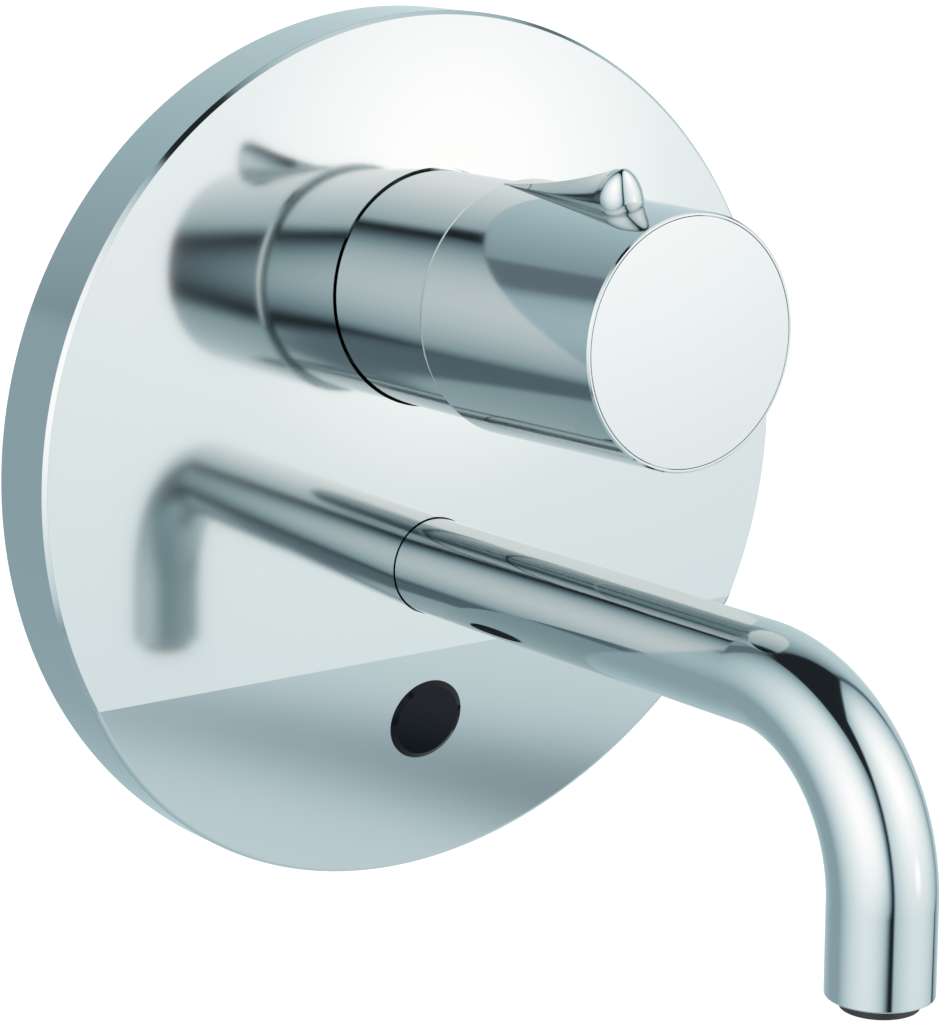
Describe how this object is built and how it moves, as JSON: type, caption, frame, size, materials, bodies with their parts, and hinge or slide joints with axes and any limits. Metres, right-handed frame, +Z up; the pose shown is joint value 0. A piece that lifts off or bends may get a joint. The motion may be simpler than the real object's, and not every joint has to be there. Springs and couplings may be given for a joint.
{
  "type": "wall-mounted sensor basin tap",
  "caption": "Concealed wall tap: round polished cover plate with a sloped lower facet, a mixing handle, a bent tube spout and a black hand sensor.",
  "frame": {"origin": "centre of the round cover plate on the plane of the wall", "axes": "+X to the right and +Z up as seen from the front, +Y into the wall, so the front faces -Y"},
  "size_m": [0.2, 0.2255, 0.2],
  "materials": {
    "chrome_plate": "polished chrome",
    "chrome_handle": "polished chrome",
    "black_window": "glossy black, lets infrared through",
    "black_plastic": "moulded",
    "rubber": "smooth",
    "steel": "rolled",
    "brass": "machined",
    "white_plastic": "moulded",
    "ceramic": null,
    "grey_plastic": "moulded",
    "board": "circuit board",
    "coil_plastic": "potted coil",
    "lead_rubber": "sheathed lead"
  },
  "bodies": {
    "root": {"cover_plate": "chrome_plate", "handle_sleeve": "chrome_plate", "spout_tube": "chrome_plate", "sensor_window": "black_window", "aerator_housing": "black_plastic", "aerator_insert": "black_plastic", "sensor_housing": "black_plastic", "sensor_nut": "black_plastic", "stop_ring": "black_plastic", "plate_seal": "rubber", "cartridge_seals": "rubber", "disc_seal": "rubber", "sleeve_ring": "rubber", "spout_rings": "rubber", "aerator_washer": "rubber", "sensor_ring": "rubber", "inlet_washers": "rubber", "carrier_plate": "steel", "wall_screws": "steel", "plate_clips": "steel", "body_screws": "steel", "spout_grub_screw": "steel", "hot_check_spring": "steel", "cold_check_spring": "steel", "solenoid_spring": "steel", "solenoid_guide": "steel", "inlet_strainers": "steel", "valve_body": "brass", "hot_nipple": "brass", "cold_nipple": "brass", "spout_nipple": "brass", "cartridge_nut": "brass", "cartridge_housing": "white_plastic", "hot_check_cage": "white_plastic", "cold_check_cage": "white_plastic", "fixed_disc": "ceramic", "control_box": "grey_plastic", "control_lid": "grey_plastic", "battery": "grey_plastic", "control_board": "board", "sensor_board": "board", "solenoid_coil": "coil_plastic", "sensor_cable": "lead_rubber", "solenoid_cable": "lead_rubber"},
    "handle": {"handle_shell": "chrome_handle", "handle_cap": "chrome_handle", "grip_tab": "chrome_handle", "handle_hub": "black_plastic", "handle_screw": "steel", "cartridge_spindle": "white_plastic", "turning_disc": "ceramic"},
    "plunger": {"solenoid_plunger": "steel"},
    "hot_poppet": {"hot_check_poppet": "white_plastic"},
    "cold_poppet": {"cold_check_poppet": "white_plastic"}
  },
  "joints": [
    {"name": "handle_turn", "type": "hinge", "parent": "root", "child": "handle", "pos_m": [0, -0.0815, 0.0385], "axis": [0, 1, 0], "range_deg": [-37.4, 62.6]},
    {"name": "plunger_slide", "type": "slide", "parent": "root", "child": "plunger", "axis": [1, 0, 0], "range_m": [0, 0.003], "stiffness_N_per_m": 500, "springref_m": -0.002, "deforming": ["solenoid_spring"]},
    {"name": "hot_poppet_slide", "type": "slide", "parent": "root", "child": "hot_poppet", "axis": [1, 0, 0], "range_m": [0, 0.0025], "stiffness_N_per_m": 100, "springref_m": -0.001, "deforming": ["hot_check_spring"]},
    {"name": "cold_poppet_slide", "type": "slide", "parent": "root", "child": "cold_poppet", "axis": [-1, 0, 0], "range_m": [0, 0.0025], "stiffness_N_per_m": 100, "springref_m": -0.001, "deforming": ["cold_check_spring"]}
  ]
}
